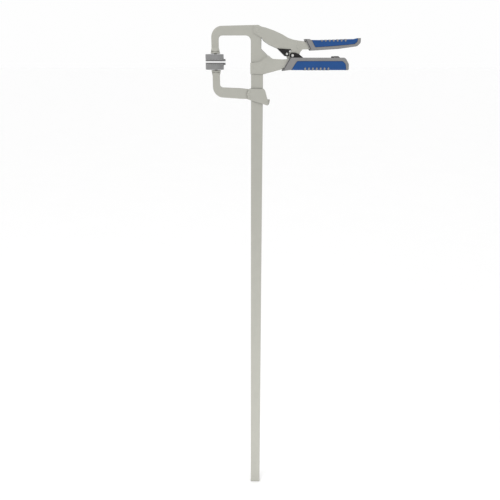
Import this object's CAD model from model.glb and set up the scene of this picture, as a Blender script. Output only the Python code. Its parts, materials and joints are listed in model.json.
"""Locking F clamp: the looks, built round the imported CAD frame. Lengths in the tables are millimetres."""
import json
import math

import bmesh
import bpy
from mathutils import Matrix, Vector

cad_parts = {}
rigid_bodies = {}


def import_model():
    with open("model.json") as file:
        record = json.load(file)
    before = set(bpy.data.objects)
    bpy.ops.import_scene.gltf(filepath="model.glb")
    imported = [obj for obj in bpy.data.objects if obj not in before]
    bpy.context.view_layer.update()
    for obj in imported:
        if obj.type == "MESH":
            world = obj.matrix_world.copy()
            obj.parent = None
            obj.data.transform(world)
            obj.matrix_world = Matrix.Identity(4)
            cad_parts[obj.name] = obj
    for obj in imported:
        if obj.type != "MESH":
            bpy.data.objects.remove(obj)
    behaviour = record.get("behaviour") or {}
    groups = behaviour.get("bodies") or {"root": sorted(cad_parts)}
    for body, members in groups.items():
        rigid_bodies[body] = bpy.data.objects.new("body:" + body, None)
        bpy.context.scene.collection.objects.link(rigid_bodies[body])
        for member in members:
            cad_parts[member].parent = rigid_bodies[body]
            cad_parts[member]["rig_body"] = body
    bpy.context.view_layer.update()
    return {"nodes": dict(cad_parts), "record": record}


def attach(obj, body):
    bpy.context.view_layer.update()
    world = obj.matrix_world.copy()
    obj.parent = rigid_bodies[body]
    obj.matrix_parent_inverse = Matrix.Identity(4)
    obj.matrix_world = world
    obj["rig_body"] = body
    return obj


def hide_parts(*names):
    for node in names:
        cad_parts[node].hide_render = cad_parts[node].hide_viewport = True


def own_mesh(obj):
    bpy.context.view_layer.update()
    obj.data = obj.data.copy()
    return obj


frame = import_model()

MM = 0.001

# ------------------------------------------------------------------ dimensions
PLAY = 0.3                         # clearance round pins and between sliding pieces
FORGED = 4.5                       # half thickness of the bar and the forged arms
NECK_IN, NECK_OUT = 4.85, 7.1      # half widths of the body channel
HAND_IN, HAND_OUT = 9.1, 11.2      # and inside the lower handle
LEVER_IN, LEVER_OUT = 4.85, 6.6    # half widths of the lever channel, in front
LEVER_HAND_IN, LEVER_HAND_OUT = 7.6, 9.4
YOKE_IN, YOKE_OUT = 4.9, 7.5
LOWER_GRIP_Y, UPPER_GRIP_Y = 14.0, 12.5
BAR_LEFT, BAR_RIGHT, BAR_LOW, BAR_TOP = 66.1, 88.1, -988.5, -3.2
JAW_PIVOT, LEVER_PIVOT = (87.0, -7.5), (77.5, 52.0)
LINK_PIVOT, SLIDER_PIN = (140.6, 9.8), (176.0, -4.5)
CAM_PIN, LEVER_RIVET = (130.5, 12.4), (149.9, 24.1)
BAR_RIVETS = ((71.5, -8.0), (71.5, -17.2))
YOKE_RIVETS = ((62.6, -52.6), (62.6, -61.6))
TRIGGER_PIN = (92.6, -69.4)
JAW_PIN_R, LEVER_PIN_R, LINK_PIN_R, SLIDER_PIN_R, CAM_PIN_R = 4.0, 3.0, 2.4, 2.2, 1.9
BAR_RIVET_R, LEVER_RIVET_R, YOKE_RIVET_R, TRIGGER_PIN_R = 2.5, 1.8, 1.7, 1.5
WHEEL_Z, WHEEL_R, WHEEL_BORE_R = 0.9, 8.0, 2.9
PAD_GAP = 2.2                      # between the faces of the two pads
UPPER_STUD_X, LOWER_STUD_X = 1.6, 2.3
STUD_HOLE_R = 3.3
CREASE_REACH = 4.0                 # how far from an inner corner a surface darkens


# -------------------------------------------------------------------- outlines
def rounded(points, least=0.0):
    """Closed outline of (x, z, corner radius) points, as plain (x, z) points. No radius is under least."""
    quarter_turn_steps = 8
    out = []
    count = len(points)
    for i, point in enumerate(points):
        p = Vector(point[:2])
        r = max(point[2] if len(point) > 2 else 0, least)
        a = Vector(points[i - 1][:2]) - p
        b = Vector(points[(i + 1) % count][:2]) - p
        half = a.angle(b) / 2
        if not r or half > math.radians(89.9):
            out.append(tuple(p))
            continue
        reach = min(r / math.tan(half), a.length * 0.49, b.length * 0.49)
        radius = reach * math.tan(half)
        u, v = a.normalized(), b.normalized()
        centre = p + (u + v).normalized() * radius / math.sin(half)
        start, end = p + u * reach - centre, p + v * reach - centre
        angle = math.atan2(start.y, start.x)
        turn = math.atan2(end.y, end.x) - angle
        turn = (turn + math.pi) % (2 * math.pi) - math.pi
        n = max(2, round(quarter_turn_steps * abs(turn) / (math.pi / 2)))
        out += [(centre.x + radius * math.cos(angle + turn * k / n),
                 centre.y + radius * math.sin(angle + turn * k / n)) for k in range(n + 1)]
    return out


def circle(at, r, n=40):
    return [(at[0] + r * math.cos(2 * math.pi * k / n),
             at[1] + r * math.sin(2 * math.pi * k / n)) for k in range(n)]


def inset(outline, d):
    """Outline with every edge moved inwards by d."""
    area = sum(a[0] * b[1] - b[0] * a[1] for a, b in zip(outline, outline[1:] + outline[:1]))
    side = 1 if area > 0 else -1
    out = []
    for i, p in enumerate(outline):
        p = Vector(p)
        a = (p - Vector(outline[i - 1])).normalized()
        b = (Vector(outline[(i + 1) % len(outline)]) - p).normalized()
        na, nb = Vector((-a.y, a.x)) * side, Vector((-b.y, b.x)) * side
        out.append(tuple(p + (na + nb) * d / (1 + na.dot(nb))))
    return out


def ease(t):
    """Smooth rise from 0 to 1."""
    t = min(max(t, 0.0), 1.0)
    return t * t * (3 - 2 * t)


def flare(x, x0, x1, a, b):
    """Value at x that eases from a at x0 to b at x1."""
    return a + (b - a) * ease((x - x0) / (x1 - x0))


def follow(line, x):
    """Height at x of a line of (x, z) points that runs to the right."""
    for (x0, z0), (x1, z1) in zip(line, line[1:]):
        if x <= x1:
            return z0 + (z1 - z0) * (x - x0) / (x1 - x0)
    return line[-1][1]


def smooth_line(points, radius):
    """Open line of (x, z) points with its inner corners rounded, closed far above and opened again."""
    far_up = 1e4
    inner = [(x, z, radius) for x, z in points[1:-1]]
    far = [(points[-1][0] + 50, far_up), (points[0][0] - 50, far_up)]
    line = rounded([points[0], *inner, points[-1], *far])
    return [p for p in line if p[1] < far_up / 10]


def span(start, end, step):
    """Even stations from start to end, at most a step apart."""
    n = math.ceil((end - start) / step)
    return [start + (end - start) * k / n for k in range(n + 1)]


def fold_line(half, level, radius, reach, up, steps=7):
    """(y, z) line down one side, round the fold at level and up the other, from reach to reach."""
    left = [(-half, reach)]
    for k in range(steps + 1):
        t = math.pi / 2 * k / steps
        left.append((-half + radius * (1 - math.cos(t)), level + up * radius * (1 - math.sin(t))))
    return left + [(-y, z) for y, z in reversed(left)]


# --------------------------------------------------------------- mesh building
def make(name, bm):
    """A mesh object from bmesh data given in millimetres, faces turned outwards."""
    bmesh.ops.remove_doubles(bm, verts=bm.verts, dist=1e-3)
    bmesh.ops.recalc_face_normals(bm, faces=bm.faces)
    bmesh.ops.scale(bm, vec=(MM, MM, MM), verts=bm.verts)
    mesh = bpy.data.meshes.new(name)
    bm.to_mesh(mesh)
    bm.free()
    obj = bpy.data.objects.new(name, mesh)
    bpy.context.scene.collection.objects.link(obj)
    return obj


def loft(name, rings):
    """Closed skin over equal rings of points, with both ends capped."""
    bm = bmesh.new()
    made = [[bm.verts.new(p) for p in ring] for ring in rings]
    count = len(made[0])
    for low, high in zip(made, made[1:]):
        for k in range(count):
            bm.faces.new((low[k], low[(k + 1) % count], high[(k + 1) % count], high[k]))
    bm.faces.new(made[0])
    bm.faces.new(made[-1])
    return make(name, bm)


AXES = {"X": lambda u, v, w: (w, u, v), "Y": lambda u, v, w: (u, w, v), "Z": lambda u, v, w: (u, v, w)}


def prism(name, outline, w0, w1, bevel=0.0, axis="Y", steps=4):
    """An outline made solid along an axis from w0 to w1, the edges of both faces rounded."""
    place = AXES[axis]
    rim = [(0.0, 0.0)]
    if bevel:
        turns = [math.pi / 2 * k / steps for k in range(steps + 1)]
        rim = [(bevel * (1 - math.cos(t)), bevel * (1 - math.sin(t))) for t in turns]
    layers = [(w0 + deep, narrow) for deep, narrow in rim]
    layers += [(w1 - deep, narrow) for deep, narrow in reversed(rim)]
    return loft(name, [[place(u, v, w) for u, v in inset(outline, narrow)] for w, narrow in layers])


def sweep(name, stations, section):
    """Solid along X whose (y, z) section is a function of x."""
    return loft(name, [[(x, y, z) for y, z in section(x)] for x in stations])


def turned(name, profile, axis="Z", at=(0, 0, 0), steps=64):
    """Turned shape from (radius, height) pairs that start and end on the axis, or close on themselves."""
    bm = bmesh.new()
    rings = []
    for r, h in profile:
        n = steps if r > 1e-9 else 1
        angles = [2 * math.pi * k / n for k in range(n)]
        rings.append([bm.verts.new((r * math.cos(t), r * math.sin(t), h)) for t in angles])
    closed = len(rings[0]) > 1
    for low, high in zip(rings, rings[1:] + (rings[:1] if closed else [])):
        for k in range(steps):
            corners = [low[k % len(low)], low[(k + 1) % len(low)],
                       high[(k + 1) % len(high)], high[k % len(high)]]
            corners = [v for i, v in enumerate(corners) if v not in corners[:i]]
            if len(corners) > 2:
                bm.faces.new(corners)
    turn = {"Z": Matrix.Identity(4), "Y": Matrix.Rotation(-math.pi / 2, 4, "X"),
            "X": Matrix.Rotation(math.pi / 2, 4, "Y")}[axis]
    bmesh.ops.transform(bm, matrix=Matrix.Translation(at) @ turn, verts=bm.verts)
    return make(name, bm)


def wire(name, points, r, sides=12):
    """Round wire along a path of points."""
    rings = []
    side = Vector((0, 0, 1))
    for i, p in enumerate(points):
        ahead = Vector(points[min(i + 1, len(points) - 1)]) - Vector(points[max(i - 1, 0)])
        ahead.normalize()
        side = (side - ahead * side.dot(ahead)).normalized()
        up = ahead.cross(side)
        rings.append([Vector(p) + (side * math.cos(t) + up * math.sin(t)) * r
                      for t in (2 * math.pi * k / sides for k in range(sides))])
    return loft(name, rings)


def bake(obj):
    """Applies the object's modifiers."""
    graph = bpy.context.evaluated_depsgraph_get()
    graph.update()
    mesh = bpy.data.meshes.new_from_object(obj.evaluated_get(graph))
    obj.modifiers.clear()
    old = obj.data
    obj.data = mesh
    bpy.data.meshes.remove(old)
    mesh.name = obj.name
    return obj


def boolean(obj, operation, tools):
    for tool in tools:
        step = obj.modifiers.new("cut", "BOOLEAN")
        step.operation, step.object, step.solver = operation, tool, "EXACT"
        bake(obj)
        old = tool.data
        bpy.data.objects.remove(tool)
        bpy.data.meshes.remove(old)
    return obj


def cut(obj, *tools):
    return boolean(obj, "DIFFERENCE", tools)


def join(obj, *tools):
    return boolean(obj, "UNION", tools)


def common(obj, *tools):
    return boolean(obj, "INTERSECT", tools)


def hole(at, r, reach=40.0):
    """A cutter: a round rod across the clamp, with play round its pin."""
    return prism("cutter", circle(at, r + PLAY), -reach, reach)


def slab(x0, x1, y0, y1, z0, z1):
    """A cutter: a plain block."""
    return prism("cutter", [(x0, z0), (x1, z0), (x1, z1), (x0, z1)], y0, y1)


def soften(obj, width, segments=2):
    """Small rounding along the sharp edges."""
    sharp = math.radians(32)
    merge = obj.modifiers.new("weld", "WELD")
    merge.merge_threshold = 4e-6
    step = obj.modifiers.new("bevel", "BEVEL")
    step.width, step.segments = width * MM, segments
    step.limit_method, step.angle_limit = "ANGLE", sharp
    step.miter_outer = "MITER_ARC"
    return bake(obj)


# ------------------------------------------------------------------- materials
def node(tree, kind, inputs=(), **settings):
    """A shader node; inputs are (socket, value or socket to link) pairs."""
    made = tree.nodes.new(kind)
    for key, value in settings.items():
        setattr(made, key, value)
    for key, value in inputs:
        if isinstance(value, bpy.types.NodeSocket):
            tree.links.new(value, made.inputs[key])
        else:
            made.inputs[key].default_value = value
    return made


def noise(tree, scale, detail, stretch=(1, 1, 1)):
    """Noise from 0 to 1 that stays with the piece. Scale is in waves to a metre."""
    place = node(tree, "ShaderNodeTexCoord").outputs["Object"]
    vector = node(tree, "ShaderNodeMapping", [("Vector", place), ("Scale", stretch)]).outputs["Vector"]
    return node(tree, "ShaderNodeTexNoise", [("Vector", vector), ("Scale", scale), ("Detail", detail),
                                             ("Roughness", 0.6)]).outputs["Fac"]


def between(tree, value, from_low, from_high, low, high):
    """The value's range from_low to from_high, mapped to low to high."""
    return node(tree, "ShaderNodeMapRange", [("Value", value), ("From Min", from_low),
                                             ("From Max", from_high), ("To Min", low),
                                             ("To Max", high)]).outputs["Result"]


def times(tree, a, b):
    return node(tree, "ShaderNodeMath", [(0, a), (1, b)], operation="MULTIPLY").outputs[0]


def mix(tree, factor, a, b):
    """Colour a where factor is 0, colour b where it is 1."""
    colours = [(key, (*v, 1.0) if isinstance(v, tuple) else v) for key, v in ((6, a), (7, b))]
    return node(tree, "ShaderNodeMix", [(0, factor), *colours], data_type="RGBA").outputs[2]


def shade(colour, k):
    return tuple(min(c * k, 1.0) for c in colour)


def edge_mask(tree, radius, low, high):
    """1 along convex and concave edges, 0 on open faces."""
    soft = node(tree, "ShaderNodeBevel", [("Radius", radius * MM)], samples=6).outputs["Normal"]
    true = node(tree, "ShaderNodeNewGeometry").outputs["Normal"]
    turn = node(tree, "ShaderNodeVectorMath", [(0, soft), (1, true)], operation="DOT_PRODUCT")
    return between(tree, turn.outputs["Value"], 1 - low, 1 - high, 0.0, 1.0)


def finish(name, colour, metallic, roughness, mottle=0.05, mottle_scale=60.0, grain=0.03,
           grain_scale=2500.0, bump=0.02, stretch=(1, 1, 1), wear=0.0, wear_colour=None,
           specular=0.5, crease=0.45):
    """One procedural finish: mottling, fine grain in colour, gloss and relief, worn edges, dark creases."""
    gloss_spread, wear_reach = 0.08, 0.9
    material = bpy.data.materials.new(name)
    material.use_nodes = True
    tree = material.node_tree
    bsdf = tree.nodes["Principled BSDF"]
    bsdf.inputs["Metallic"].default_value = metallic
    bsdf.inputs["Specular IOR Level"].default_value = specular
    slow = noise(tree, mottle_scale, 4.0)
    fine = noise(tree, grain_scale, 2.0, stretch)
    base = mix(tree, between(tree, slow, 0.3, 0.7, 0.0, 1.0),
               shade(colour, 1 - mottle), shade(colour, 1 + mottle))
    if wear:
        rub = noise(tree, 220.0, 4.0)
        mask = times(tree, edge_mask(tree, wear_reach, 0.004, 0.09), between(tree, rub, 0.3, 0.65, 0.0, wear))
        base = mix(tree, mask, base, wear_colour)
    dark = between(tree, fine, 0.35, 0.75, 1 - 2 * grain, 1.0)
    if crease:
        open_sky = node(tree, "ShaderNodeAmbientOcclusion", [("Distance", CREASE_REACH * MM)], samples=8)
        dark = times(tree, dark, between(tree, open_sky.outputs["AO"], 0.3, 0.95, 1 - crease, 1.0))
    base = node(tree, "ShaderNodeMix", [(0, 1.0), (6, base), (7, dark)], data_type="RGBA",
                blend_type="MULTIPLY").outputs[2]
    gloss = between(tree, node(tree, "ShaderNodeMath", [(0, slow), (1, fine)], operation="ADD").outputs[0],
                    0.6, 1.4, roughness - gloss_spread, roughness + gloss_spread)
    tree.links.new(base, bsdf.inputs["Base Color"])
    tree.links.new(gloss, bsdf.inputs["Roughness"])
    relief = node(tree, "ShaderNodeBump", [("Strength", 0.6), ("Distance", bump * MM), ("Height", fine)])
    tree.links.new(relief.outputs["Normal"], bsdf.inputs["Normal"])
    return material


NICKEL = (0.447, 0.444, 0.4)
NICKEL_RUBBED = (0.53, 0.525, 0.48)
STEEL = (0.64, 0.64, 0.61)
FINISHES = {
    "satin_metal": finish("satin_nickel", NICKEL, 0.55, 0.46, mottle=0.025, grain=0.02, wear=0.2,
                          wear_colour=NICKEL_RUBBED, crease=0.35),
    "bare_steel": finish("bright_steel", STEEL, 0.9, 0.3, grain=0.05, bump=0.01),
    "black_steel": finish("black_oxide", (0.014, 0.013, 0.013), 0.2, 0.42, mottle=0.25, grain=0.1,
                          wear=0.5, wear_colour=(0.1, 0.095, 0.09), specular=0.3),
    "grip_grey": finish("soft_grey_grip", (0.245, 0.242, 0.242), 0.0, 0.62, mottle=0.05, grain=0.06,
                        grain_scale=3200.0, bump=0.05, wear=0.2, wear_colour=(0.3, 0.295, 0.295),
                        crease=0.7),
    "grip_blue": finish("blue_panel", (0.007, 0.068, 0.245), 0.0, 0.45, mottle=0.06, grain=0.05,
                        grain_scale=1800.0, bump=0.03, wear=0.25, wear_colour=(0.03, 0.13, 0.36),
                        specular=0.3, crease=0.7),
    "pad_grey": finish("pad_grey_paint", (0.264, 0.264, 0.264), 0.1, 0.55, mottle=0.06, grain=0.08,
                       grain_scale=1500.0, bump=0.04, wear=0.2, wear_colour=(0.33, 0.33, 0.33),
                       crease=0.7),
    "pad_cap": finish("soft_cap_rubber", (0.185, 0.185, 0.185), 0.0, 0.75, mottle=0.08, grain=0.1,
                      grain_scale=1600.0, bump=0.06, wear=0.2, wear_colour=(0.24, 0.24, 0.24),
                      crease=0.6),
}
DRAWN_BAR = finish("drawn_nickel_bar", NICKEL, 0.55, 0.44, mottle=0.02, grain=0.025, grain_scale=1600.0,
                   bump=0.015, stretch=(1, 1, 0.015), wear=0.2, wear_colour=NICKEL_RUBBED)
# The photograph shows hardly any line where the body and the upper arm meet.
BODY_NICKEL = finish("body_nickel", NICKEL, 0.55, 0.46, mottle=0.025, grain=0.02, wear=0.2,
                     wear_colour=NICKEL_RUBBED, crease=0)
SLOTS = {part["node"]: part["material_slot"] for part in frame["record"]["subparts"]}


def dress(obj, node_name, material=None, angle=30):
    """The piece takes the body and the finish of a CAD node."""
    mesh = obj.data
    mesh.polygons.foreach_set("use_smooth", [True] * len(mesh.polygons))
    mesh.set_sharp_from_angle(angle=math.radians(angle))
    obj.modifiers.new("flat_faces_stay_flat", "WEIGHTED_NORMAL").keep_sharp = True
    mesh = bake(obj).data
    mesh.materials.clear()
    slot = SLOTS[node_name]
    mesh.materials.append(material or FINISHES[slot])
    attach(obj, frame["nodes"][node_name]["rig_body"])


def stand_in(obj, node_name, **looks):
    """The piece is dressed as a CAD node and stands for it."""
    dress(obj, node_name, **looks)
    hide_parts(node_name)


# ------------------------------------------------------------------ the pieces
def pin(name, node_name, at, r, head, face, high):
    """Headed pin across the clamp, its low domed heads resting on the plates at +-face."""
    rim, top = face + 0.15, face + PLAY + high
    dome = [(head * math.sin(t), rim + (top - rim) * math.cos(t))
            for t in (math.pi / 2 * k / 6 for k in range(7))]
    half = [*dome, (head, face + 0.03), (head - 0.1, face), (r, face)]
    profile = half + [(a, -b) for a, b in reversed(half)]
    stand_in(turned(name, profile, "Y", (at[0], 0, at[1]), 48), node_name)


def plain_pin(name, node_name, at, r, end, dimple=0.45):
    """Pin with rounded edges and a dimple in each end."""
    half = [(0, end - dimple), (r * 0.45, end - dimple * 0.5), (r * 0.6, end), (r - 0.3, end),
            (r - 0.08, end - 0.1), (r, end - 0.3)]
    profile = half + [(a, -b) for a, b in reversed(half)]
    stand_in(turned(name, profile, "Y", (at[0], 0, at[1]), 40), node_name)


def bar():
    """Flat bar, its top end notched round the jaw pivot."""
    notch_r = 9.8
    notch = [(JAW_PIVOT[0] + notch_r * math.cos(t), JAW_PIVOT[1] + notch_r * math.sin(t))
             for t in (math.pi * (1.5 - 0.5 * k / 10) for k in range(11))]
    outline = rounded([(BAR_LEFT, BAR_LOW, 1), (BAR_RIGHT, BAR_LOW, 1), (BAR_RIGHT, notch[0][1])])
    outline += [*notch, (notch[-1][0], BAR_TOP), (BAR_LEFT, BAR_TOP)]
    solid = prism("flat_bar", outline, -FORGED, FORGED, bevel=0.9)
    stand_in(cut(solid, *[hole(at, BAR_RIVET_R) for at in BAR_RIVETS]), "main_bar", material=DRAWN_BAR)


BODY_SPINE = smooth_line([(50, -22.4), (88.4, -22.4), (124.5, -12.9), (138, -12), (250, -12)], 12)


def body_flare(x, grow=0.0):
    return flare(x, 104, 128, NECK_OUT, HAND_OUT) + grow


def lever_flare(x, grow=0.0):
    return flare(x, 155, 172, LEVER_OUT, LEVER_HAND_OUT) + grow


def body():
    """Steel channel folded up round the bar's top end that runs back as the lower handle."""
    def section(x):
        inner = flare(x, 105, 129, NECK_IN, HAND_IN)
        base = follow(BODY_SPINE, x)
        skin = flare(x, 88, 121, 2.5, 1.9)
        shell = fold_line(body_flare(x), base, 3.2, 30, 1)
        return shell + fold_line(inner, base + skin, 1.2, 30, 1)[::-1]

    side = rounded([(65.1, -40), (236.6, -40), (236.6, -12), (240.1, -7.9, 1.5), (234.1, 4.4, 2.5),
                    (134, 4.4, 6), (123.8, 3.3, 6), (104.8, 4.2, 8), (97.2, 10.2, 1.2), (81, -1.4, 9),
                    (64.7, -2.1, 1)])
    shell = common(sweep("folded_body", span(60, 245, 2), section), prism("cutter", side, -20, 20))
    cut(shell, slab(50, 88.6, -NECK_IN, NECK_IN, -60, 40), *[hole(at, BAR_RIVET_R) for at in BAR_RIVETS],
        hole(JAW_PIVOT, JAW_PIN_R))
    stand_in(soften(shell, 0.55, 3), "body_shell", material=BODY_NICKEL)
    for i, at in enumerate(BAR_RIVETS):
        pin(f"body_rivet_{i + 1}", f"bar_rivet_{i + 1}", at, BAR_RIVET_R, 3.6, NECK_OUT, 0.2)
    pin("jaw_pivot", "jaw_pivot_pin", JAW_PIVOT, JAW_PIN_R, 5.3, NECK_OUT, 0.35)


def grip(name, node_name, base, up, half, fold, side, plan, hollow, channel, panel, lip, ribs, stations):
    """Soft grip moulding round a handle, its coloured panel let into both sides and the closed edge.

    The lip is a narrow groove just inside the moulding's slanted front end. The ribs stand on the panel.
    """
    depth, proud, groove = 1.3, 0.4, 0.5

    def skin(label, grow):
        def section(x):
            return fold_line(half + grow, follow(base, x) - up * grow, fold + grow, 10 + up * 70, up, 10)
        return sweep(label, stations, section)

    def trimmed(label, grow):
        return common(skin(label, grow), prism("cutter", inset(side, -grow), -30, 30),
                      prism("cutter", inset(plan, -grow), -90, 90, axis="Z"))

    near = [(x, -channel(x, PLAY)) for x in stations]
    room = common(prism("cutter", hollow, -40, 40),
                  prism("cutter", near + [(x, -y) for x, y in reversed(near)], -90, 90, axis="Z"))
    grip_body = trimmed(name, 0)
    for outline in (panel, lip):
        cut(grip_body, cut(prism("cutter", outline, -40, 40), skin("cutter", -depth)))
    cut(grip_body, room)
    stand_in(soften(grip_body, 0.8, 3), f"{node_name}_body")
    inlay = cut(common(trimmed(f"{name}_panel", proud), prism("cutter", inset(panel, groove), -40, 40)),
                skin("cutter", -depth))
    stand_in(soften(inlay, 0.35, 2), f"{node_name}_panel")
    for i, outline in enumerate(ribs):
        rib = common(trimmed(f"{name}_rib_{i + 1}", proud + 0.4), prism("cutter", outline, -40, 40))
        cut(rib, skin("cutter", proud - 0.2))
        dress(soften(rib, 0.25, 2), f"{node_name}_body")


def rib_row(x0, z0, z1):
    """Outlines of a row of plain upright ribs from z0, beyond the grip, to their rounded ends at z1."""
    count, pitch, width = 7, 7.0, 3.0
    return [rounded([(x, z0), (x + width, z0), (x + width, z1, 1.4), (x, z1, 1.4)])
            for x in (x0 + pitch * k for k in range(count))]


def lower_grip():
    base = smooth_line([(90, -18.8), (122.3, -16.3), (130, -15.7), (137, -14.6), (235.5, -14.5),
                        (239, -15.1), (260, -15.1)], 6)
    side = rounded([(120.1, -20), (238.6, -20), (242.7, -12.8, 3), (242.7, -5.5, 7), (234.8, 6.2, 6),
                    (135.5, 6.2, 4)])
    plan = rounded([(100, -14.2), (242.9, -14.2, 5), (242.9, 14.2, 5), (100, 14.2)])
    hollow = rounded([(110, -17.15), (124.3, -13.35, 12), (138, -12.4), (237.6, -12.4), (240.7, -7.8),
                      (217.4, 40), (110, 40)])
    panel = rounded([(139.4, -13.9), (142.3, -8.8, 10), (148.6, 0.6, 3.5), (230.8, 0.6, 6),
                     (236.4, -4.6, 8), (237.6, -14), (237.6, -30), (139.4, -30)])
    lip = [(118.7, -24), (120, -24), (137.3, 5.6), (136, 5.6)]
    grip("lower_handle_grip", "lower_grip", base, 1, LOWER_GRIP_Y, 4.5, side, plan, hollow, body_flare,
         panel, lip, rib_row(162, -30, -10.4), span(105, 255, 3))


def upper_grip():
    top = smooth_line([(140, 37.1), (161.3, 37.1), (170, 37.2), (173.6, 35.2), (189, 35), (214, 35.6),
                       (230, 36.2), (250, 36.7), (255.5, 38.6), (280, 38.9)], 3)
    side = rounded([(157.1, 44.4), (261.4, 44.4), (261.4, 31.4, 5), (254.5, 24.9, 6), (225.7, 21.2),
                    (189.9, 19), (172.2, 18.2, 2.5)])
    plan = rounded([(140, -12.7), (261.4, -12.7, 5), (261.4, 12.7, 5), (140, 12.7)])
    hollow = rounded([(150, 35.2), (167, 33.1), (252.6, 34.2), (252.6, -20), (150, -20)])
    panel = rounded([(172.6, 60), (173.2, 35.6), (174.4, 33.8, 3), (180.2, 23.2, 3), (207.5, 24.8),
                     (234.3, 27), (250, 28.6, 3), (254.7, 32.4, 4), (255.2, 36), (255.2, 60)])
    lip = [(172.3, 19.8), (173.6, 19.8), (159.6, 44), (158.3, 44)]
    grip("upper_handle_grip", "upper_grip", top, -1, UPPER_GRIP_Y, 3.2, side, plan, hollow, lever_flare,
         panel, lip, rib_row(190, 60, 32.8), span(150, 270, 2))


LEVER_TOP = ((83.7, 57.9), (92.5, 56), (106.8, 51.3), (121.1, 45.3), (131.9, 39.4), (140.9, 36.4),
             (153.4, 34.4), (167, 32.7), (253, 33.8))
LEVER_RIDGE = smooth_line([(60, 60.6), (78.5, 60.2), *LEVER_TOP, (275, 34.1)], 14)
LEVER_SIDE = rounded([
    (78.5, 60.2), (78.5, 80), (252, 80), (252, 27, 3), (225.7, 23.1), (189.9, 20.9), (158.6, 20.3, 2),
    (154.7, 15.9, 3), (153.2, 11.2, 1), (146.9, 4.4, 5), (131.2, 4.4, 3), (131, 9.1, 0.5),
    (127.2, 9.1, 3.2), (127.2, 15.7, 3.2), (134, 15.7, 2), (138.2, 17.2, 1.5), (138.2, 20.1, 1.2),
    (118, 21.4, 6), (112.4, 22, 6), (98.2, 27.7, 20), (88.6, 34.2, 8), (84.9, 39.2, 1.5), (72.6, 46.2)])


def lever():
    """Steel channel folded down over the linkage that runs back as the upper handle."""
    def section(x):
        inner = flare(x, 155, 172, LEVER_IN, LEVER_HAND_IN)
        top = follow(LEVER_RIDGE, x)
        shell = fold_line(lever_flare(x), top, 2.6, -10, -1)
        return shell + fold_line(inner, top - 2.1, 0.9, -10, -1)[::-1]

    shape = join(prism("cutter", LEVER_SIDE, -20, 20),
                 prism("cutter", circle(LEVER_PIVOT, 7.7, 56), -20, 20))
    shell = common(sweep("folded_lever", span(62, 262, 2), section), shape)
    cut(shell, slab(50, 89, -LEVER_IN, LEVER_IN, 30, 90), hole(LEVER_PIVOT, LEVER_PIN_R),
        hole(LINK_PIVOT, LINK_PIN_R), hole(CAM_PIN, CAM_PIN_R), hole(LEVER_RIVET, LEVER_RIVET_R))
    stand_in(soften(shell, 0.5, 3), "lever_shell")
    pin("lever_pivot", "lever_pivot_pin", LEVER_PIVOT, LEVER_PIN_R, 4, LEVER_OUT, 0.3)
    pin("lever_side_rivet", "lever_rivet", LEVER_RIVET, LEVER_RIVET_R, 2.6, LEVER_OUT, 0.15)
    plain_pin("link_pivot", "link_pivot_pin", LINK_PIVOT, LINK_PIN_R, 10.4)


def toggle_link():
    """Two black link arms outside the lever plates, held by a cross bar, and the slider that they push."""
    cx, cz = LINK_PIVOT
    dx, dz = SLIDER_PIN
    eye = 5.1
    arm = rounded([(cx, cz + eye), (cx + 5, cz + 4.8, 4), (cx + 11.4, cz + 2.4, 3),
                   (cx + 19.2, cz - 3.2, 1.5), (cx + 21, cz - 5.2, 2), (dx + 2.5, dz + 5.4, 4.4),
                   (dx + 5.2, dz - 4.7, 5), (dx - 5, dz - 4.7, 5), (cx - 1.9, cz - 4.7)])
    near, far = LEVER_OUT + PLAY, HAND_IN - PLAY - 0.1
    slot = rounded([(dx - 4.4, dz - 2.6, 2.6), (dx + 2.6, dz - 2.6, 2.6), (dx + 2.6, dz + 2.9, 2.6),
                    (dx - 4.4, dz + 2.9, 2.6)])
    link = prism("black_link", circle((cx + 22.2, cz - 9), 3), -8, 8)
    for y0, y1 in ((-far, -near), (near, far)):
        end = prism("cutter", circle(LINK_PIVOT, eye), y0, y1, 0.5)
        join(link, join(prism("cutter", arm, y0, y1, 0.5), end))
    cut(link, hole(LINK_PIVOT, LINK_PIN_R), prism("cutter", slot, -12, 12))
    stand_in(soften(link, 0.2), "toggle_link")

    block = rounded([(dx - 6.5, -9.8, 0.8), (dx + 7.5, -9.8, 0.8), (dx + 7.5, 5, 0.8), (dx + 2, 5, 0.8),
                     (dx - 2, 0.5, 0.8), (dx - 6.5, 0.5, 0.8)])
    solid = prism("sliding_block", block, -6.5, 6.5, 0.6)
    stand_in(cut(solid, hole(SLIDER_PIN, SLIDER_PIN_R)), "slider_block")
    plain_pin("sliding_pin", "slider_pin", SLIDER_PIN, SLIDER_PIN_R, 8.7)


def cam_wedge():
    """The wedge's cheeks stand outside the lever plates, and its web lies between them."""
    wx, wz = CAM_PIN
    eye, out = 3.9, 8.3
    foot = [(126.9, 8.9, 3), (wx, wz - eye, 2), (wx + eye, wz - eye, eye), (wx + eye, wz + 2.6, 2),
            (134.6, 17.8, 0.8)]
    web = rounded([(87.2, 38, 0.3), (87.2, 35.3, 0.3), (89, 33.6, 4), (98.2, 27.6, 20), (113.4, 21.3, 2),
                   *foot, (134.6, 23.4, 1), (112.4, 24.6, 8), (98.2, 30.4, 20)])
    cheek = rounded([(113.6, 21.2, 0.3), *foot, (137.3, 18.3, 0.6), (137.3, 20.2, 0.5)])
    plates = inset(LEVER_SIDE, -PLAY)
    wedge = cut(prism("black_cam", cheek, -out, out, 0.4),
                prism("cutter", plates, LEVER_IN - PLAY, LEVER_OUT + PLAY),
                prism("cutter", plates, -LEVER_OUT - PLAY, -LEVER_IN + PLAY))
    join(wedge, prism("cutter", web, -LEVER_IN + PLAY, LEVER_IN - PLAY, 0.3))
    stand_in(soften(cut(wedge, hole(CAM_PIN, CAM_PIN_R)), 0.15), "cam_wedge")
    plain_pin("cam_pivot", "cam_pin", CAM_PIN, CAM_PIN_R, 9.0, 0.3)


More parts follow.
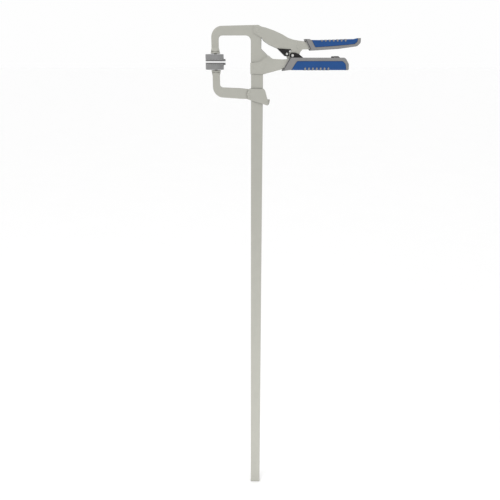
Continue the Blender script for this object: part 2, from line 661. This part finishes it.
def coil(radius, gauge, length, turns):
    """Path of a compression spring's wire along +Z."""
    per_turn = 28
    n = turns * per_turn
    rise = length - 2 * gauge
    out = []
    for i in range(n + 1):
        t = 2 * math.pi * i / per_turn
        out.append((radius * math.cos(t), radius * math.sin(t), gauge + rise * i / n))
    return out


def wheel():
    """Force wheel between its bearing plates, with its collar, the threaded rod and the return spring."""
    for i, x0 in ((1, 205.2), (2, 229.2)):
        outline = rounded([(-8.8, -9.8, 1.2), (8.8, -9.8, 1.2), (8.8, 4.4, 2), (-8.8, 4.4, 2)])
        plate = prism(f"bearing_plate_{i}", outline, x0, x0 + 2.8, 0.4, "X")
        bore = prism("cutter", circle((0, WHEEL_Z), WHEEL_BORE_R), x0 - 1, x0 + 4, axis="X")
        stand_in(cut(plate, bore), f"wheel_bearing_{i}")

    teeth = 36
    tooth = [0.62, 0.25, 0.0, 0.0, 0.25, 0.62]     # depth under the rim, across one tooth

    def knurled(x):
        narrow = max(0.0, 216.2 - x, x - 224.6)
        ring = []
        for k in range(teeth * len(tooth)):
            t = 2 * math.pi * k / (teeth * len(tooth))
            r = WHEEL_R - tooth[k % len(tooth)] - narrow
            ring.append((r * math.cos(t), WHEEL_Z + r * math.sin(t)))
        return ring

    rim = sweep("thumb_wheel", [215.4, 215.8, 216.2, 218, 223, 224.6, 225, 225.4], knurled)
    hub = [(0, 224.9), (7, 224.9), (6.8, 225.6), (5.6, 227.7), (5, 228.4), (4.6, 228.6), (0, 228.6)]
    bore = [(0, 200), (WHEEL_BORE_R, 200), (WHEEL_BORE_R, 240), (0, 240)]
    join(rim, turned("cutter", hub, "X", (0, 0, WHEEL_Z), 48))
    stand_in(cut(rim, turned("cutter", bore, "X", (0, 0, WHEEL_Z), 40)), "force_wheel")
    collar = [(WHEEL_BORE_R, 211.6), (7.2, 211.6), (7.6, 211.8), (7.7, 212.2), (7.7, 214.6), (7.5, 215),
              (7.2, 215.1), (WHEEL_BORE_R, 215.1)]
    stand_in(turned("black_collar", collar, "X", (0, 0, WHEEL_Z)), "wheel_collar")

    pitch = 1.5
    thread = [(0, 201), (1.3, 201), (1.6, 201.3)]
    for k in range(20):
        x = 202 + k * pitch
        thread += [(2.05, x), (2.1, x + 0.25), (2.42, x + 0.6), (2.5, x + 0.75), (2.42, x + 0.9),
                   (2.1, x + 1.25)]
    thread += [(2.1, 232), (1.8, 232.4), (0, 232.4)]
    stand_in(turned("threaded_rod", thread, "X", (0, 0, WHEEL_Z), 40), "force_rod")

    start, length, gauge = SLIDER_PIN[0] + 8.2, 20.4, 0.55
    path = [(start + z, y, WHEEL_Z - x) for x, y, z in coil(4.2, gauge, length, 6)]
    spring = wire("handle_spring", path, gauge)
    stand_in(spring, "return_spring", angle=60)
    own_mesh(spring)


def neck(stud_x, middle, foot, sign):
    """Blend from the round foot over a swivel to the flat section of a forged arm's neck."""
    layers, around = 28, 72
    length, blend = 10.5, 7.6
    rings = []
    for k in range(layers + 1):
        rise = length * k / layers
        t = ease(rise / blend)
        round_off = 0.3 * max(0.0, 1 - rise / 0.4)
        wide, deep = 8.0 - 1.53 * t - round_off, 6.3 - 1.78 * t - round_off
        power = 2 / (2 + 7 * t)                    # a circle at the foot, nearly a rectangle above
        centre = stud_x + (middle - stud_x) * t
        ring = []
        for j in range(around):
            c, s = math.cos(2 * math.pi * j / around), math.sin(2 * math.pi * j / around)
            ring.append((centre + wide * math.copysign(abs(c) ** power, c),
                         deep * math.copysign(abs(s) ** power, s), foot + sign * rise))
        rings.append(ring)
    return loft("cutter", rings)


def arms():
    """The two forged arms, each with its neck over a swivel."""
    upper = rounded([
        (-5, 16.6), (-5, 58.5, 19), (79.5, 60.5), (85.2, 56.4), (84.8, 46, 4), (84.5, 21, 2.5),
        (96.2, 10.2), (98.2, -3, 6), (97.8, -16.5, 8.6), (87, -16.6, 8), (81.3, -14.9, 6),
        (78.2, -9.8, 6), (78.2, BAR_TOP + 0.6), (65.7, BAR_TOP + 0.6), (65.7, 43.4, 9.5),
        (7.9, 43.3, 6.5), (7.9, 16.6)], 2.0)
    arm = join(prism("forged_upper_arm", upper, -FORGED, FORGED, 1.6, steps=5),
               neck(UPPER_STUD_X, 1.45, 16.0, 1))
    cut(arm, hole(JAW_PIVOT, JAW_PIN_R, reach=9), hole(LEVER_PIVOT, LEVER_PIN_R, reach=9),
        prism("cutter", circle((UPPER_STUD_X, 0), STUD_HOLE_R), 10, 26, axis="Z"))
    stand_in(soften(arm, 0.25), "upper_arm", material=BODY_NICKEL)

    lower = rounded([
        (8.8, -18.8), (8.8, -44.9, 6), (45.8, -46.3, 0), (60, -47.8, 2), (65.7, -49), (65.7, -65),
        (58, -65.4, 2), (45.7, -65, 0), (-4.2, -61.6, 19), (-4.2, -18.8)], 2.0)
    arm = join(prism("forged_lower_arm", lower, -FORGED, FORGED, 1.6, steps=5),
               neck(LOWER_STUD_X, 2.3, -18.2, -1))
    cut(arm, *[hole(at, YOKE_RIVET_R, reach=9) for at in YOKE_RIVETS],
        prism("cutter", circle((LOWER_STUD_X, 0), STUD_HOLE_R), -28, -12, axis="Z"))
    stand_in(soften(arm, 0.25), "lower_arm")


def yoke():
    """Yoke that slides on the bar, and the release trigger in its tail."""
    side = rounded([
        (61.2, -48.6, 1.2), (65.6, -46.9, 2), (88.9, -47.3, 3), (92.2, -50.5, 2), (94.2, -57.4, 20),
        (97.6, -68, 2), (98, -77.4, 1.5), (88, -74.3), (59.3, -65.7, 1.2), (59.3, -59.3, 0.8),
        (57.6, -58.2, 1)])
    inside = rounded([(50, -40), (89.2, -40), (89.2, -50), (91.7, -58), (93.2, -63), (93.2, -64),
                      (110, -64), (110, -90), (50, -90)])
    shell = cut(prism("sliding_yoke", side, -YOKE_OUT, YOKE_OUT, 1.1),
                prism("cutter", inside, -YOKE_IN, YOKE_IN),
                *[hole(at, YOKE_RIVET_R) for at in YOKE_RIVETS], hole(TRIGGER_PIN, TRIGGER_PIN_R))
    stand_in(soften(shell, 0.3), "yoke_shell")
    for i, at in enumerate(YOKE_RIVETS):
        pin(f"sliding_yoke_rivet_{i + 1}", f"yoke_rivet_{i + 1}", at, YOKE_RIVET_R, 2.5, YOKE_OUT, 0.15)
    pin("trigger_pivot", "trigger_pin", TRIGGER_PIN, TRIGGER_PIN_R, 2.2, YOKE_OUT, 0.15)

    tx, tz = TRIGGER_PIN
    outline = rounded([(tx - 3.8, tz + 3, 1), (tx + 1, tz + 3, 1), (97.6, -66.9, 0.8), (100.6, -65.7, 0.7),
                       (101.3, -68.4, 1.2), (100.7, -71.6, 2), (98.9, -76.4, 1), (95.5, -73.8, 1),
                       (tx - 3.8, tz - 3, 2)])
    grooves = [prism("cutter", circle((101.2 - 0.35 * k, tz - 1.4 * k), 0.4, 16), -10, 10) for k in range(4)]
    trigger = prism("finger_trigger", outline, -FORGED, FORGED, 0.6)
    stand_in(cut(trigger, hole(TRIGGER_PIN, TRIGGER_PIN_R), *grooves), "release_trigger")

    foot, length, gauge = -66.2, 1.9, 0.2
    path = [(95 + x, y, foot + z) for x, y, z in coil(1.2, gauge, length, 2)]
    spring = wire("finger_spring", path, gauge, 8)
    stand_in(spring, "trigger_spring", angle=60)
    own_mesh(spring)


def swivel(prefix, stud_x, low):
    """Pad, cap, ring and ball stud, drawn for the upper side and turned over for the lower."""
    turn_over = Matrix.Translation((0, 0, -PAD_GAP * MM)) @ Matrix.Rotation(math.pi, 4, "X")

    def place(obj, node_name):
        if low:
            obj.data.transform(turn_over)
        stand_in(obj, node_name)

    ball_r, ball_z = 4.5, 8.5
    ball = [(ball_r * math.sin(t), ball_z - ball_r * math.cos(t))
            for t in (math.pi * 0.8 * k / 14 for k in range(15))]
    stud = [(0, 4.0), *ball[1:], (2.6, 12.2), (2.6, 16.2), (3, 16.6), (3, 25.2), (2.6, 25.6), (0, 25.6)]
    place(turned(f"{prefix}_ball_stud", stud, at=(stud_x, 0, 0), steps=48), f"{prefix}_stud")
    ring = [(3.2, 12.9), (6.4, 12.9), (8.2, 13.1), (8.5, 13.3), (8.6, 13.6), (8.6, 14.4), (8.5, 14.8),
            (8.1, 15.6), (7.8, 15.9), (3.2, 15.9)]
    place(turned(f"{prefix}_swivel_ring", ring, at=(stud_x, 0, 0)), f"{prefix}_ring")

    shoe = [(0, 2.35), (15.9, 2.35), (16.3, 2.45), (16.5, 2.8), (16.5, 11.1), (16.35, 11.6), (15.9, 12.0),
            (15.5, 12.1), (14.2, 12.1), (13.9, 11.7), (9.6, 11.7), (9.3, 12.1), (0, 12.1)]
    socket = [(0, 3.6), (2.6, 3.6), (4.9, 5.6), (4.9, 10.2), (3.9, 11.2), (3.9, 13), (0, 13)]
    pad = cut(turned(f"{prefix}_shoe", shoe, steps=96),
              turned("cutter", socket, at=(stud_x, 0, 0), steps=48))
    place(soften(pad, 0.15), f"{prefix}_body")

    face = [(0, 0)]
    for r in (5.0, 8.5, 12.0):
        face += [(r, 0), (r + 0.25, 0.25), (r + 0.75, 0.25), (r + 1, 0)]
    cap = [*face, (15.7, 0), (16.1, 0.08), (16.4, 0.3), (16.5, 0.6), (16.5, 1.9), (16.4, 2.1), (16.1, 2.2),
           (0, 2.2)]
    tab = rounded([(14, 0.1), (19.6, 0.1, 0.8), (19.6, 4, 0.9), (16.9, 4, 0.6), (16.9, 2.15), (14, 2.15)])
    disc = join(turned(f"{prefix}_soft_cap", cap, steps=96), prism("cutter", tab, -6, 6, 0.3))
    place(disc, f"{prefix}_cap")


bar()
body()
lower_grip()
arms()
lever()
upper_grip()
toggle_link()
cam_wedge()
wheel()
yoke()
swivel("upper_pad", UPPER_STUD_X, False)
swivel("lower_pad", LOWER_STUD_X, True)


# ------------------------------------------------------- floor, light and camera
def stage():
    """White studio: an even white sky over a wide pale floor just under the bar's foot."""
    scene = bpy.context.scene
    scene.view_settings.view_transform = "Standard"
    world = bpy.data.worlds.new("studio")
    world.use_nodes = True
    sky = world.node_tree.nodes["Background"].inputs
    sky["Color"].default_value = (1.0, 1.0, 1.0, 1.0)
    sky["Strength"].default_value = 0.99
    scene.world = world

    reach, thick, top = 90000, 20, BAR_LOW - 0.1
    floor = prism("floor", [(-reach, top - thick), (reach, top - thick), (reach, top), (-reach, top)],
                  -reach, reach)
    pale = finish("pale_floor", (0.998, 0.998, 0.998), 0.0, 0.8, mottle=0.004, mottle_scale=3.0,
                  grain=0.004, specular=0.2, crease=0)
    floor.data.materials.append(pale)


def lamp(name, at, aim, size, power, spread=180):
    """Square area light. The camera doesn't see the lamp itself."""
    data = bpy.data.lights.new(name, "AREA")
    data.size, data.energy, data.spread = size, power, math.radians(spread)
    obj = bpy.data.objects.new(name, data)
    obj.location = at
    obj.visible_camera = False
    obj.rotation_euler = (Vector(aim) - Vector(at)).to_track_quat("-Z", "Y").to_euler()
    bpy.context.scene.collection.objects.link(obj)


def camera():
    """Level with the pads and looking down along the bar, as in the photograph."""
    pitch_down = 20.8
    data = bpy.data.cameras.new("camera")
    data.lens, data.sensor_width = 35.7, 36.0
    data.clip_end = 200.0
    obj = bpy.data.objects.new("camera", data)
    obj.location = (0.0642, -0.965, -0.0005)
    obj.rotation_euler = (math.radians(90 - pitch_down), 0, 0)
    bpy.context.scene.collection.objects.link(obj)
    bpy.context.scene.camera = obj


stage()
lamp("key_light", (-1.2, -1.8, 1.6), (0.1, 0, -0.3), 1.6, 8)
for side in (-1, 1):               # light the bar's foot and the floor round it
    lamp("floor_light", (0.08 + 0.55 * side, -0.6, -0.8), (0.08, 0, -0.97), 0.3, 0.62, 110)
camera()
